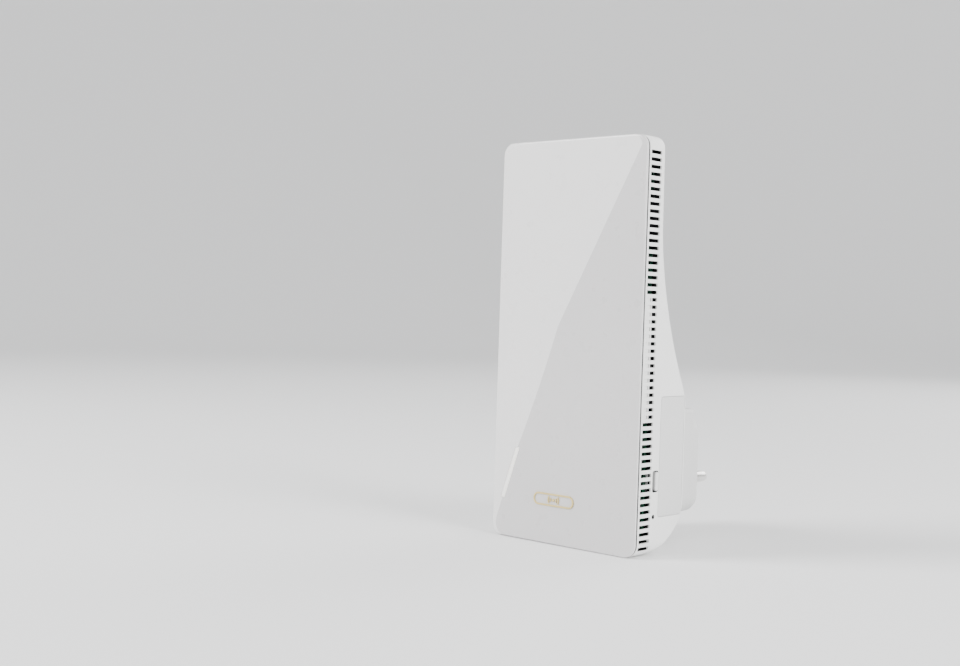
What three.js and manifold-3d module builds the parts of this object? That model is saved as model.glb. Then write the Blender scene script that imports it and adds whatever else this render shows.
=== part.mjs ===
// Plug-in wifi range extender: a flat front cover on a vented housing whose back swells into a hump,
// with a mains plug block behind it. Millimetres, +Z up, front cover facing -Y, plug pins along +Y.
// The origin is on the plug block's flat rear face, midway between the two pins.
import * as THREE from 'three';
import { mergeVertices } from 'three/addons/utils/BufferGeometryUtils.js';
import Module from 'manifold-3d';

const wasm = await Module();
wasm.setup();

// Driving dimensions. Inside this file a piece is placed in body coordinates: X across, Y behind the
// front face, Z from mid-height. The finished group is shifted to the origin at the plug face.
const GAP = 0.3;
const BODY_W = 72;
const BODY_H = 160;
const CORNER_R = 5;
const WALL = 2;
const REAR_EDGE_R = 2.4;

const COVER_T = 1.4;
const COVER_EDGE_R = 0.7;
const HOUSING_FRONT = COVER_T + GAP;
const SLAB_DEPTH = 13.2;
const HUMP_DEPTH = 32.6;

const VENTS = 55;
const VENT_TOP_Z = 73.4;
const VENT_PITCH = 2.78;
const VENT_H = 1.2;
const VENT_FRONT = 3.2;
const VENT_SPLIT = 6.6;
const VENT_REAR = 9.4;
const HALF_VENT_FIRST = 20;
const HALF_VENT_LAST = 36;
const BLIND_DEPTH = 0.8;

const PLUG_W = 39;
const PLUG_TOP = -26.5;
const PLUG_HEAD_TOP = -28;
const PLUG_BOTTOM = -70.5;
const PLUG_STEP_Y = 62;
const PLUG_FACE_Y = 67;
const PLUG_WALL = 2.5;
const PIN_Z = -57.5;
const PIN_PITCH = 19;
const PIN_D = 4.8;
const PIN_LENGTH = 19;

const BAR_TOP = new THREE.Vector2(-23.5, -43.4);
const BAR_BOTTOM = new THREE.Vector2(-30.8, -64.4);
const BAR_W = 2;
const EMBLEM = { x: -3.8, z: -62.5, w: 20.4, h: 5, t: 0.4 };
const LABEL = { y: 22.6, z: -42.3, w: 15.4, h: 46, t: 0.25 };

const BUTTON = { y: 12.9, z: -51.5, w: 2.6, h: 7.6, travel: 0.6 };
const RESET = { y: 11.9, z: -65, hole: 1.6, d: 1.4, travel: 0.4 };
const JACK = { z: -45, w: 16, h: 13.3, length: 16, y: 10.6 };
const SOCKET = { w: 11.8, h: 6.8, depth: 12, tabW: 6, tabH: 2 };

const BOARD_FRONT = 8.7;
const BOARD_T = 1.6;
const BOARD_REAR = BOARD_FRONT + BOARD_T;
const BOARD_TOP = 38;
const BOARD_BOTTOM = -73;
const BOARD_HALF_W = 33;
const POWER_FRONT = 26;
const POWER_REAR = POWER_FRONT + BOARD_T;
const PLUG_SCREW = { x: 13.5, z: -36 };
const MAIN_SCREWS = [[-28, 33], [28, 33], [-24, -69], [24, -69]];
const POWER_SCREWS = [[-14, -26], [24, -57]];
const SCREW = { d: 2, head: 4.4, headT: 1.4, length: 4, hole: 2.6, post: 5 };

const device = new THREE.Group();
device.position.set(0, -PLUG_FACE_Y, -PIN_Z);

// Finishes: colour, roughness, metalness.
const finishes = {
  white: [0xe9e8e5, 0.35, 0],
  housing: [0xf1f0ed, 0.5, 0],
  plug: [0xdfdfdd, 0.5, 0],
  lens: [0xe2dcd2, 0.3, 0],
  gold: [0xd3b676, 0.3, 1],
  label: [0xd9d8d5, 0.6, 0],
  nickel: [0xd9d7d2, 0.25, 1],
  board: [0x1d5b3a, 0.6, 0],
  chip: [0x1b1b1d, 0.5, 0],
  shield: [0xb9bbbd, 0.35, 1],
  aluminium: [0xc3c5c7, 0.4, 1],
  pad: [0x8aa7bd, 0.8, 0],
  jack: [0x2a2a2c, 0.45, 0],
  contact: [0xd9b25f, 0.3, 1],
  capacitor: [0x2d3550, 0.45, 0],
  coil: [0xc9a13a, 0.5, 0],
  brown: [0x7a4a2b, 0.6, 0],
  blue: [0x2f5fa8, 0.6, 0],
  black: [0x202022, 0.6, 0],
  screw: [0x9a9c9e, 0.35, 1],
};

// ---------- helpers ----------

function solid(geometry) {
  const bare = geometry.clone();
  bare.deleteAttribute('normal');
  bare.deleteAttribute('uv');
  const merged = mergeVertices(bare, 1e-4);
  return new wasm.Manifold(new wasm.Mesh({
    numProp: 3,
    vertProperties: new Float32Array(merged.attributes.position.array),
    triVerts: new Uint32Array(merged.index.array),
  }));
}

function geometryOf(manifold) {
  const mesh = manifold.getMesh();
  const geometry = new THREE.BufferGeometry();
  geometry.setAttribute('position', new THREE.BufferAttribute(mesh.vertProperties, 3));
  geometry.setIndex(new THREE.BufferAttribute(mesh.triVerts, 1));
  geometry.computeVertexNormals();
  return geometry;
}

function add(name, shape, finish) {
  const geometry = shape.isBufferGeometry ? shape : geometryOf(shape);
  const [color, roughness, metalness] = finishes[finish];
  const mesh = new THREE.Mesh(geometry, new THREE.MeshStandardMaterial({ color, roughness, metalness }));
  mesh.name = name;
  device.add(mesh);
}

function box(x0, x1, y0, y1, z0, z1) {
  const geometry = new THREE.BoxGeometry(x1 - x0, y1 - y0, z1 - z0);
  return geometry.translate((x0 + x1) / 2, (y0 + y1) / 2, (z0 + z1) / 2);
}

function boxAt(x, z, w, h, y0, y1) {
  return box(x - w / 2, x + w / 2, y0, y1, z - h / 2, z + h / 2);
}

// Cylinder along Y from y0 to y1.
function rodY(d, x, z, y0, y1, sides = 16) {
  return new THREE.CylinderGeometry(d / 2, d / 2, y1 - y0, sides).translate(x, (y0 + y1) / 2, z);
}

// Cylinder along X from x0 to x1.
function rodX(d, y, z, x0, x1, sides = 16) {
  const rod = new THREE.CylinderGeometry(d / 2, d / 2, x1 - x0, sides).rotateZ(Math.PI / 2);
  return rod.translate((x0 + x1) / 2, y, z);
}

// Rounded rectangle with its own radius at the top corners and at the bottom corners.
function roundedRect(w, top, bottom, rTop, rBottom = rTop) {
  const s = new THREE.Shape();
  s.moveTo(-w / 2, bottom + rBottom);
  s.lineTo(-w / 2, top - rTop);
  s.absarc(-w / 2 + rTop, top - rTop, rTop, Math.PI, Math.PI / 2, true);
  s.lineTo(w / 2 - rTop, top);
  s.absarc(w / 2 - rTop, top - rTop, rTop, Math.PI / 2, 0, true);
  s.lineTo(w / 2, bottom + rBottom);
  s.absarc(w / 2 - rBottom, bottom + rBottom, rBottom, 0, -Math.PI / 2, true);
  s.lineTo(-w / 2 + rBottom, bottom);
  s.absarc(-w / 2 + rBottom, bottom + rBottom, rBottom, -Math.PI / 2, -Math.PI, true);
  return s;
}

// Extrude an outline drawn in X and Z along Y, from y0 to y1.
function slabY(shape, y0, y1, options = {}) {
  const settings = { depth: y1 - y0, bevelEnabled: false, curveSegments: 4, ...options };
  return new THREE.ExtrudeGeometry(shape, settings).rotateX(Math.PI / 2).translate(0, y1, 0);
}

// Extrusion settings that round the edges inwards by r at both ends.
function roundedEdge(r, steps) {
  return {
    bevelEnabled: true,
    bevelThickness: r,
    bevelSize: r,
    bevelOffset: -r,
    bevelSegments: steps,
  };
}

function softSlabY(shape, y0, y1, r, steps = 3) {
  return slabY(shape, y0 + r, y1 - r, roundedEdge(r, steps));
}

// Turn an extrusion of an outline drawn in Y and Z so that it runs along X.
function alongX(geometry) {
  const axes = [new THREE.Vector3(0, 1, 0), new THREE.Vector3(0, 0, 1), new THREE.Vector3(1, 0, 0)];
  return geometry.applyMatrix4(new THREE.Matrix4().makeBasis(...axes));
}

function slabX(shape, x0, x1, options = {}) {
  const settings = { depth: x1 - x0, bevelEnabled: false, curveSegments: 12, ...options };
  return alongX(new THREE.ExtrudeGeometry(shape, settings)).translate(x0, 0, 0);
}

function tube(points, d, steps, sides = 8) {
  const section = new THREE.Shape().absarc(0, 0, d / 2, 0, 2 * Math.PI);
  const path = new THREE.CatmullRomCurve3(points.map((p) => new THREE.Vector3(...p)));
  const settings = { steps, curveSegments: sides / 2, bevelEnabled: false, extrudePath: path };
  return new THREE.ExtrudeGeometry(section, settings);
}

function joined(...shapes) {
  return shapes.map(solid).reduce((sum, piece) => sum.add(piece));
}

function cut(body, ...tools) {
  return tools.reduce((rest, tool) => rest.subtract(solid(tool)), body);
}

// ---------- housing ----------

// Side outline of the body in Y and Z, drawn `inset` inside the outer surface: a thin slab at the
// top, a concave sweep into the hump, the hump's flat back, and a round belly to the bottom edge.
function sideOutline(inset) {
  const front = -6;
  const top = BODY_H / 2 - inset;
  const bottom = -BODY_H / 2 + inset;
  const hump = HUMP_DEPTH - inset;
  const s = new THREE.Shape();
  s.moveTo(front, bottom);
  s.lineTo(6, bottom);
  s.bezierCurveTo(20 - 0.4 * inset, -79.6 + inset, 31.8 - 0.9 * inset, -70.5 + 0.5 * inset, hump, -62);
  s.lineTo(hump, -24);
  s.quadraticCurveTo(hump - 0.2, -19, 30 - 0.9 * inset, -14.5 - 0.5 * inset);
  s.bezierCurveTo(20.3 - 0.85 * inset, 4.5 - 0.5 * inset, 14 - inset, 28 - 0.3 * inset, 13.6 - inset, 46);
  s.lineTo(SLAB_DEPTH - inset, top);
  s.lineTo(front, top);
  s.closePath();
  return s;
}

// The body's outer surface, or the surface `inset` inside it, from y0 backwards.
function bodySolid(inset, y0, edge = REAR_EDGE_R) {
  const w = BODY_W - 2 * inset;
  const front = roundedRect(w, BODY_H / 2 - inset, -BODY_H / 2 + inset, Math.max(CORNER_R - inset, 1));
  const side = slabX(sideOutline(inset), -w / 2 + edge, w / 2 - edge, roundedEdge(edge, 3));
  return solid(slabY(front, y0, HUMP_DEPTH + 5)).intersect(solid(side));
}

function vents() {
  const slots = [];
  for (let i = 0; i < VENTS; i += 1) {
    const z = VENT_TOP_Z - i * VENT_PITCH;
    const half = i >= HALF_VENT_FIRST && i <= HALF_VENT_LAST;
    const front = half ? VENT_SPLIT : VENT_FRONT;
    slots.push(box(-BODY_W, BODY_W, front, VENT_REAR, z - VENT_H / 2, z + VENT_H / 2));
    if (half) {
      for (const side of [-1, 1]) {
        const inner = side * (BODY_W / 2 - BLIND_DEPTH);
        const outer = side * BODY_W;
        const [x0, x1] = [Math.min(inner, outer), Math.max(inner, outer)];
        slots.push(box(x0, x1, VENT_FRONT, VENT_SPLIT - 0.4, z - VENT_H / 2, z + VENT_H / 2));
      }
    }
  }
  return wasm.Manifold.union(slots.map(solid));
}

function oblong(w, h) {
  return roundedRect(w, h / 2, -h / 2, w / 2 - 0.01);
}

function oblongX(w, h, y, z, x0, x1) {
  return slabX(oblong(w, h), x0, x1, { curveSegments: 4 }).translate(0, y, z);
}

function rearHousing() {
  const outer = bodySolid(0, HOUSING_FRONT);
  const shell = outer.subtract(bodySolid(WALL, -1, 0.5));
  const mainPosts = MAIN_SCREWS.map(([x, z]) => rodY(SCREW.post, x, z, BOARD_REAR + GAP, 40));
  const powerPosts = POWER_SCREWS.map(([x, z]) => rodY(SCREW.post, x, z, POWER_REAR + GAP, 40));
  const posts = wasm.Manifold.union([...mainPosts, ...powerPosts].map(solid)).intersect(outer);
  const half = JACK.w / 2 + GAP;
  const jackWindow = box(-BODY_W, -30, JACK.y - GAP, JACK.y + JACK.h + GAP, JACK.z - half, JACK.z + half);
  const wireWindow = box(-12, 12, HUMP_DEPTH - 2 * WALL, HUMP_DEPTH + 2, -61, -44);
  const buttonHole = oblongX(BUTTON.w + 2 * GAP, BUTTON.h + 2 * GAP, BUTTON.y, BUTTON.z, 30, BODY_W);
  const pinhole = rodX(RESET.hole, RESET.y, RESET.z, 30, BODY_W);
  const labelW = LABEL.w + 2 * GAP;
  const labelH = LABEL.h + 2 * GAP;
  const labelOutline = roundedRect(labelW, labelH / 2, -labelH / 2, 1.5);
  const labelFloor = BODY_W / 2 - LABEL.t - GAP;
  const labelPocket = slabX(labelOutline, labelFloor, BODY_W).translate(0, LABEL.y, LABEL.z);
  const mainHoles = MAIN_SCREWS.map(([x, z]) => rodY(SCREW.hole, x, z, BOARD_REAR, BOARD_REAR + 2.6));
  const powerHoles = POWER_SCREWS.map(([x, z]) => rodY(SCREW.hole, x, z, POWER_REAR, POWER_REAR + 2.6));
  const plugHoles = [-1, 1].map((side) => rodY(SCREW.hole, side * PLUG_SCREW.x, PLUG_SCREW.z, 28, 36));
  const holes = [...mainHoles, ...powerHoles, ...plugHoles];
  const whole = shell.add(posts).subtract(vents());
  return cut(whole, jackWindow, wireWindow, buttonHole, pinhole, labelPocket, ...holes);
}

// ---------- front cover ----------

// A slanted bar outline along the line from BAR_TOP to BAR_BOTTOM, with level ends.
function barOutline(w) {
  const half = w / 2;
  const s = new THREE.Shape();
  s.moveTo(BAR_TOP.x - half, BAR_TOP.y);
  s.lineTo(BAR_TOP.x + half, BAR_TOP.y);
  s.lineTo(BAR_BOTTOM.x + half, BAR_BOTTOM.y);
  s.lineTo(BAR_BOTTOM.x - half, BAR_BOTTOM.y);
  s.closePath();
  return s;
}

function frontCover() {
  const outline = roundedRect(BODY_W, BODY_H / 2, -BODY_H / 2, CORNER_R);
  const blank = solid(softSlabY(outline, 0, 2 * COVER_T + 1, COVER_EDGE_R));
  const plate = blank.intersect(solid(box(-BODY_W, BODY_W, -1, COVER_T, -BODY_H, BODY_H)));
  const clips = [];
  for (const x of [-20, 20]) {
    for (const side of [-1, 1]) {
      const z = side * (BODY_H / 2 - WALL - GAP - 0.6);
      clips.push(boxAt(x, z, 12, 1.2, COVER_T - 0.4, 5));
    }
  }
  const body = clips.reduce((sum, clip) => sum.add(solid(clip)), plate);
  const barSlot = slabY(barOutline(BAR_W + 2 * GAP), -1, 3);
  const pocket = slabY(emblemOutline(GAP), -1, EMBLEM.t / 2 + GAP);
  return cut(body, barSlot, pocket);
}

function emblemOutline(grow) {
  const w = EMBLEM.w + 2 * grow;
  const h = EMBLEM.h + 2 * grow;
  return movedShape(roundedRect(w, h / 2, -h / 2, h / 2 - 0.01), EMBLEM.x, EMBLEM.z);
}

function movedShape(shape, dx, dz) {
  return new THREE.Shape(shape.getPoints(4).map((p) => new THREE.Vector2(p.x + dx, p.y + dz)));
}

function addFront() {
  add('front_cover', frontCover(), 'white');
  add('light_bar_lens', slabY(barOutline(BAR_W), 0.05, COVER_T + 0.1), 'lens');
  add('light_guide', slabY(barOutline(BAR_W - 0.4), COVER_T + 0.4, 7), 'lens');
  add('front_emblem', slabY(emblemOutline(0), -EMBLEM.t / 2, EMBLEM.t / 2), 'gold');
}

// ---------- plug ----------

function plugBlock() {
  const base = slabY(roundedRect(PLUG_W, PLUG_TOP, PLUG_BOTTOM, 2, 7.5), 22, PLUG_STEP_Y);
  const headOutline = roundedRect(PLUG_W, PLUG_HEAD_TOP, PLUG_BOTTOM, 9, 7.5);
  const head = softSlabY(headOutline, PLUG_STEP_Y - 8, PLUG_FACE_Y, 2);
  const w = PLUG_W - 2 * PLUG_WALL;
  const cavityOutline = roundedRect(w, PLUG_HEAD_TOP - PLUG_WALL, PLUG_BOTTOM + PLUG_WALL, 6, 5);
  const shell = joined(base, head).subtract(solid(slabY(cavityOutline, 10, PLUG_STEP_Y)));
  const bossX = [-PLUG_SCREW.x, PLUG_SCREW.x];
  const bosses = bossX.map((x) => rodY(SCREW.post, x, PLUG_SCREW.z, 25, PLUG_STEP_Y + 1));
  const bossHoles = bossX.map((x) => rodY(SCREW.hole, x, PLUG_SCREW.z, 25, 38));
  const pinX = [-PIN_PITCH / 2, PIN_PITCH / 2];
  const pinHoles = pinX.map((x) => rodY(PIN_D + 2 * GAP, x, PIN_Z, 50, PLUG_FACE_Y + 1));
  const whole = bosses.reduce((sum, boss) => sum.add(solid(boss)), shell);
  return cut(whole.subtract(bodySolid(-GAP, -1)), ...bossHoles, ...pinHoles);
}

// Round pin: solder stem, collar inside the block, shank, and a domed end.
function pin(x) {
  const r = PIN_D / 2;
  const collar = PLUG_STEP_Y - GAP;
  const end = PLUG_FACE_Y + PIN_LENGTH;
  const profile = [
    [0, collar - 5],
    [1, collar - 5],
    [1, collar - 1.5],
    [4, collar - 1.5],
    [4, collar],
    [r, collar],
  ];
  for (let i = 0; i <= 4; i += 1) {
    const a = (i / 4) * Math.PI / 2;
    profile.push([i === 4 ? 0 : r * Math.cos(a), end - r + r * Math.sin(a)]);
  }
  const points = profile.map(([radius, y]) => new THREE.Vector2(radius, y));
  return new THREE.LatheGeometry(points, 20).translate(x, 0, PIN_Z);
}

function addPlug() {
  add('plug_block', plugBlock(), 'plug');
  add('live_pin', pin(PIN_PITCH / 2), 'nickel');
  add('neutral_pin', pin(-PIN_PITCH / 2), 'nickel');
  const stemEnd = PLUG_STEP_Y - 5 - 2 * GAP;
  for (const [name, side, finish] of [['live_wire', 1, 'brown'], ['neutral_wire', -1, 'blue']]) {
    const points = [
      [side * PIN_PITCH / 2, stemEnd, PIN_Z],
      [side * PIN_PITCH / 2, stemEnd - 6, PIN_Z],
      [side * 7.5, 42, -54],
      [side * 6, 33, -51],
      [side * 6, POWER_REAR + GAP, -50],
    ];
    add(name, tube(points, 1.8, 10), finish);
  }
}

// ---------- side controls and sockets ----------

function pairingButton() {
  const wall = BODY_W / 2 - WALL;
  const cap = oblongX(BUTTON.w, BUTTON.h, BUTTON.y, BUTTON.z, wall - GAP - 1, BODY_W / 2 + 0.3);
  const flange = oblongX(4, BUTTON.h + 1.6, BUTTON.y, BUTTON.z, wall - GAP - 1, wall - GAP);
  const stem = rodX(2, BUTTON.y, BUTTON.z, wall - GAP - 2.2, wall - GAP - 0.5, 12);
  return joined(cap, flange, stem);
}

function addControls() {
  const stemEnd = BODY_W / 2 - WALL - GAP - 2.2;
  const nubEnd = stemEnd - BUTTON.travel - GAP;
  const seat = BOARD_REAR + GAP;
  const switchBody = box(nubEnd - 4.2, nubEnd - 0.6, seat, seat + 3.7, BUTTON.z - 3, BUTTON.z + 3);
  const nub = rodX(1.8, BUTTON.y, BUTTON.z, nubEnd - 1, nubEnd, 12);
  add('pairing_button', pairingButton(), 'housing');
  add('pairing_switch', joined(switchBody, nub), 'black');

  const resetFace = nubEnd - 0.3;
  const resetBody = box(resetFace - 3.5, resetFace, seat, seat + 2.6, RESET.z - 1.8, RESET.z + 1.8);
  const bore = rodX(RESET.d + 2 * GAP, RESET.y, RESET.z, resetFace - 1.8, resetFace + 1, 12);
  add('reset_switch', cut(solid(resetBody), bore), 'black');
  const plungerInner = resetFace - 1.8 + RESET.travel + GAP;
  add('reset_plunger', rodX(RESET.d, RESET.y, RESET.z, plungerInner, resetFace + 1.2, 12), 'nickel');
}

function ethernetJack() {
  const face = -BODY_W / 2 + 0.2;
  const mid = JACK.y + JACK.h / 2;
  const half = JACK.w / 2;
  const body = box(face, face + JACK.length, JACK.y, JACK.y + JACK.h, JACK.z - half, JACK.z + half);
  const w = SOCKET.w / 2;
  const h = SOCKET.h / 2;
  const socket = box(face - 1, face + SOCKET.depth, mid - h, mid + h, JACK.z - w, JACK.z + w);
  const tabHalf = SOCKET.tabW / 2;
  const tabTop = mid + h + SOCKET.tabH;
  const tab = box(face - 1, face + SOCKET.depth, mid, tabTop, JACK.z - tabHalf, JACK.z + tabHalf);
  return cut(solid(body), socket, tab);
}

// Eight spring contacts on one carrier bar at the back of the socket.
function ethernetContacts() {
  const face = -BODY_W / 2 + 0.2;
  const low = JACK.y + JACK.h / 2 - SOCKET.h / 2 + GAP;
  const back = face + SOCKET.depth - GAP;
  const pieces = [box(back - 1, back, low, low + 3.2, JACK.z - 4.4, JACK.z + 4.4)];
  for (let i = 0; i < 8; i += 1) {
    const z = JACK.z + (i - 3.5) * 1.02;
    pieces.push(box(back - 5, back - 0.5, low, low + 0.5, z - 0.25, z + 0.25));
  }
  return joined(...pieces);
}

function addSockets() {
  add('ethernet_jack', ethernetJack(), 'jack');
  add('ethernet_contacts', ethernetContacts(), 'contact');
  const outline = roundedRect(LABEL.w, LABEL.h / 2, -LABEL.h / 2, 1.2);
  const label = slabX(outline, BODY_W / 2 - LABEL.t, BODY_W / 2, { curveSegments: 4 });
  add('rating_label', label.translate(0, LABEL.y, LABEL.z), 'label');
}

// ---------- electronics ----------

function drilledBoard(outline, y0, screws) {
  const holes = screws.map(([x, z]) => rodY(SCREW.hole, x, z, y0 - 1, y0 + BOARD_T + 1, 12));
  return cut(solid(slabY(outline, y0, y0 + BOARD_T)), ...holes);
}

function screw(x, z, headRear) {
  const r = SCREW.d / 2;
  const points = [
    [0, headRear - SCREW.headT + 0.6],
    [0.9, headRear - SCREW.headT],
    [SCREW.head / 2 - 0.4, headRear - SCREW.headT],
    [SCREW.head / 2, headRear - 0.5],
    [SCREW.head / 2, headRear],
    [r, headRear],
    [r, headRear + SCREW.length - 0.6],
    [0, headRear + SCREW.length],
  ];
  const profile = points.map(([radius, y]) => new THREE.Vector2(radius, y));
  return new THREE.LatheGeometry(profile, 10).translate(x, 0, z);
}

function addMainBoard() {
  const front = BOARD_FRONT - GAP;
  const outline = roundedRect(2 * BOARD_HALF_W, BOARD_TOP, BOARD_BOTTOM, 3);
  add('main_board', drilledBoard(outline, BOARD_FRONT, MAIN_SCREWS), 'board');
  MAIN_SCREWS.forEach(([x, z], i) => add(`main_board_screw_${i + 1}`, screw(x, z, front), 'screw'));

  add('wifi_processor', boxAt(0, 4, 14, 14, front - 1.2, front), 'chip');
  add('thermal_pad', boxAt(0, 4, 13, 13, front - 2.1, front - 1.5), 'pad');
  const plate = boxAt(0, 6, 40, 40, front - 3.6, front - 2.4);
  const fins = [];
  for (let i = 0; i < 7; i += 1) {
    fins.push(boxAt(-18 + 6 * i, 6, 1.2, 40, front - 5.4, front - 3));
  }
  add('heatsink', joined(plate, ...fins), 'aluminium');
  add('radio_shield_2g', boxAt(-13, -25, 18, 14, front - 2.4, front), 'shield');
  add('radio_shield_5g', boxAt(12, -25, 20, 14, front - 2.4, front), 'shield');
  add('memory_chip', boxAt(26, 0, 8, 11, front - 1, front), 'chip');
  add('network_transformer', boxAt(-13, JACK.z, 8, 13, BOARD_REAR + GAP, BOARD_REAR + 3), 'chip');

  for (let i = 0; i < 3; i += 1) {
    const t = (i + 0.5) / 3;
    const x = BAR_TOP.x + t * (BAR_BOTTOM.x - BAR_TOP.x);
    const z = BAR_TOP.y + t * (BAR_BOTTOM.y - BAR_TOP.y);
    add(`status_led_${i + 1}`, boxAt(x, z, 2, 3, 7 + GAP, front), 'lens');
  }
}

function addAntennas() {
  const wallInner = SLAB_DEPTH - WALL - GAP;
  for (const [name, side] of [['left', -1], ['right', 1]]) {
    const strip = boxAt(side * 19, 63, 26, 9, wallInner - 0.8, wallInner);
    const foot = boxAt(side * 9, 57.5, 6, 6, wallInner - 0.8, wallInner);
    add(`${name}_antenna`, joined(strip, foot), 'board');
    const y = wallInner - 0.8 - GAP - 0.55;
    const cable = [
      [side * 9, y, 56],
      [side * 9.2, y, 49],
      [side * 10.5, 8, 42],
      [side * 12, 7.7, 37],
      [side * 12, 7.7, 34],
    ];
    add(`${name}_antenna_cable`, tube(cable, 1.1, 9), 'black');
    add(`${name}_antenna_socket`, rodY(2.4, side * 12, 32.4, 7.1, 8.4, 12), 'contact');
  }
}

function capacitor(d, x, z, length) {
  const front = POWER_FRONT - GAP - length;
  const rear = POWER_FRONT - GAP;
  const r = d / 2;
  const points = [
    [0, front],
    [r - 0.5, front],
    [r, front + 0.6],
    [r, rear - 1.6],
    [r - 0.3, rear - 1.3],
    [r, rear - 1],
    [r, rear],
    [0, rear],
  ];
  const profile = points.map(([radius, y]) => new THREE.Vector2(radius, y));
  return new THREE.LatheGeometry(profile, 16).translate(x, 0, z);
}

// Ferrite core on a bobbin, with the winding standing proud on both sides.
function transformer(x, z) {
  const rear = POWER_FRONT - GAP;
  const core = boxAt(x, z, 16, 10, rear - 12, rear - 2);
  const bobbin = boxAt(x, z, 12, 17, rear - 2.5, rear);
  const winding = boxAt(x, z, 10, 15, rear - 10.5, rear - 2);
  return joined(core, bobbin, winding);
}

function addPowerBoard() {
  const rear = POWER_FRONT - GAP;
  const outline = movedShape(roundedRect(46, 19, -19, 1.5), 5, -41.5);
  add('power_board', drilledBoard(outline, POWER_FRONT, POWER_SCREWS), 'board');
  POWER_SCREWS.forEach(([x, z], i) => add(`power_board_screw_${i + 1}`, screw(x, z, rear), 'screw'));
  add('power_transformer', transformer(3, -49), 'coil');
  add('bulk_capacitor_1', capacitor(8, 21, -28, 12), 'capacitor');
  add('bulk_capacitor_2', capacitor(8, 21, -38, 12), 'capacitor');
  add('output_capacitor', capacitor(6.3, -4, -32, 9), 'capacitor');
  add('bridge_rectifier', boxAt(20, -47, 7, 5, rear - 3, rear), 'chip');
  add('input_fuse', rodY(5, 15, -57.5, rear - 8, rear, 14), 'brown');
  add('line_choke', capacitor(7, -13, -55, 8), 'coil');
  const bar = boxAt(9, -30, 10, 2.5, BOARD_REAR + GAP, BOARD_REAR + 3);
  const pins = [-1.5, -0.5, 0.5, 1.5].map((i) => boxAt(9 + i * 2.5, -30, 0.7, 0.7, BOARD_REAR + 2, rear));
  add('board_link', joined(bar, ...pins), 'contact');
}

function addPlugScrews() {
  const headRear = HUMP_DEPTH - WALL - GAP;
  [-1, 1].forEach((side, i) => {
    add(`plug_screw_${i + 1}`, screw(side * PLUG_SCREW.x, PLUG_SCREW.z, headRear), 'screw');
  });
}

add('rear_housing', rearHousing(), 'housing');
addFront();
addPlug();
addControls();
addSockets();
addMainBoard();
addAntennas();
addPowerBoard();
addPlugScrews();

const extender = new THREE.Group();
extender.add(device);

export default extender;
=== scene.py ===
import math

import bmesh
import bpy
from mathutils import Matrix, Vector


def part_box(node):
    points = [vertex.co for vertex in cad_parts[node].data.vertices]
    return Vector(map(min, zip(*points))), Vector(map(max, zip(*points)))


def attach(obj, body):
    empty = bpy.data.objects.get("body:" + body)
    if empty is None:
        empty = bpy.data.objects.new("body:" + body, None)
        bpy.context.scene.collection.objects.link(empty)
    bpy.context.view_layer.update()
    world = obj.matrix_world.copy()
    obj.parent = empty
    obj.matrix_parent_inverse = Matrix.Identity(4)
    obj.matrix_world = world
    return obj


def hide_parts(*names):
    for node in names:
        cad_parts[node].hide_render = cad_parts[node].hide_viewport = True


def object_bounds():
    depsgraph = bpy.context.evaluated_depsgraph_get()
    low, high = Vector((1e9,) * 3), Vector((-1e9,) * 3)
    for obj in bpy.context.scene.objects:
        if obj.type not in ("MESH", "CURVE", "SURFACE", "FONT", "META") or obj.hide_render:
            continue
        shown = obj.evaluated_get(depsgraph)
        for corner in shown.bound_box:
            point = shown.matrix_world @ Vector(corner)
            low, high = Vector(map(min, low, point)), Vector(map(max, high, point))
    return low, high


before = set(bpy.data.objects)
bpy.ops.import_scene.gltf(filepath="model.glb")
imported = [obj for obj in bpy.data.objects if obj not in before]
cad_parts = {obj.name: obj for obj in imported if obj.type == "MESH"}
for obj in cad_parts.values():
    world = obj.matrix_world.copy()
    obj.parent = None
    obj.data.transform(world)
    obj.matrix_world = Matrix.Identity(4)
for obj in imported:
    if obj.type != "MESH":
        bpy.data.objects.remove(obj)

# Body coordinates, in millimetres: x across, y behind the front face, z from mid-height.
MM = 0.001
CAD_LOW, CAD_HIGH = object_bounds()
COVER_LOW, COVER_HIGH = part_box("front_cover")
ORIGIN = Vector(((COVER_LOW.x + COVER_HIGH.x) / 2, COVER_LOW.y, (COVER_LOW.z + COVER_HIGH.z) / 2))
BODY_W = (COVER_HIGH.x - COVER_LOW.x) / MM
BODY_H = (COVER_HIGH.z - COVER_LOW.z) / MM


def local(point):
    """A point of the row frame in body millimetres."""
    return (point - ORIGIN) / MM


HOUSING_HIGH = local(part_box("rear_housing")[1])
PLUG_LOW, PLUG_HIGH = (local(p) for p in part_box("plug_block"))
PIN_LOW, PIN_HIGH = (local(p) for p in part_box("live_pin"))
BUTTON_LOW, BUTTON_HIGH = (local(p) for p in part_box("pairing_button"))
LABEL_LOW, LABEL_HIGH = (local(p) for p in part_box("rating_label"))
JACK_LOW, JACK_HIGH = (local(p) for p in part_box("ethernet_jack"))
LENS_LOW, LENS_HIGH = (local(p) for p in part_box("light_bar_lens"))
EMBLEM_LOW, EMBLEM_HIGH = (local(p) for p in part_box("front_emblem"))
RESET_LOW, RESET_HIGH = (local(p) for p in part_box("reset_plunger"))

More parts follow.
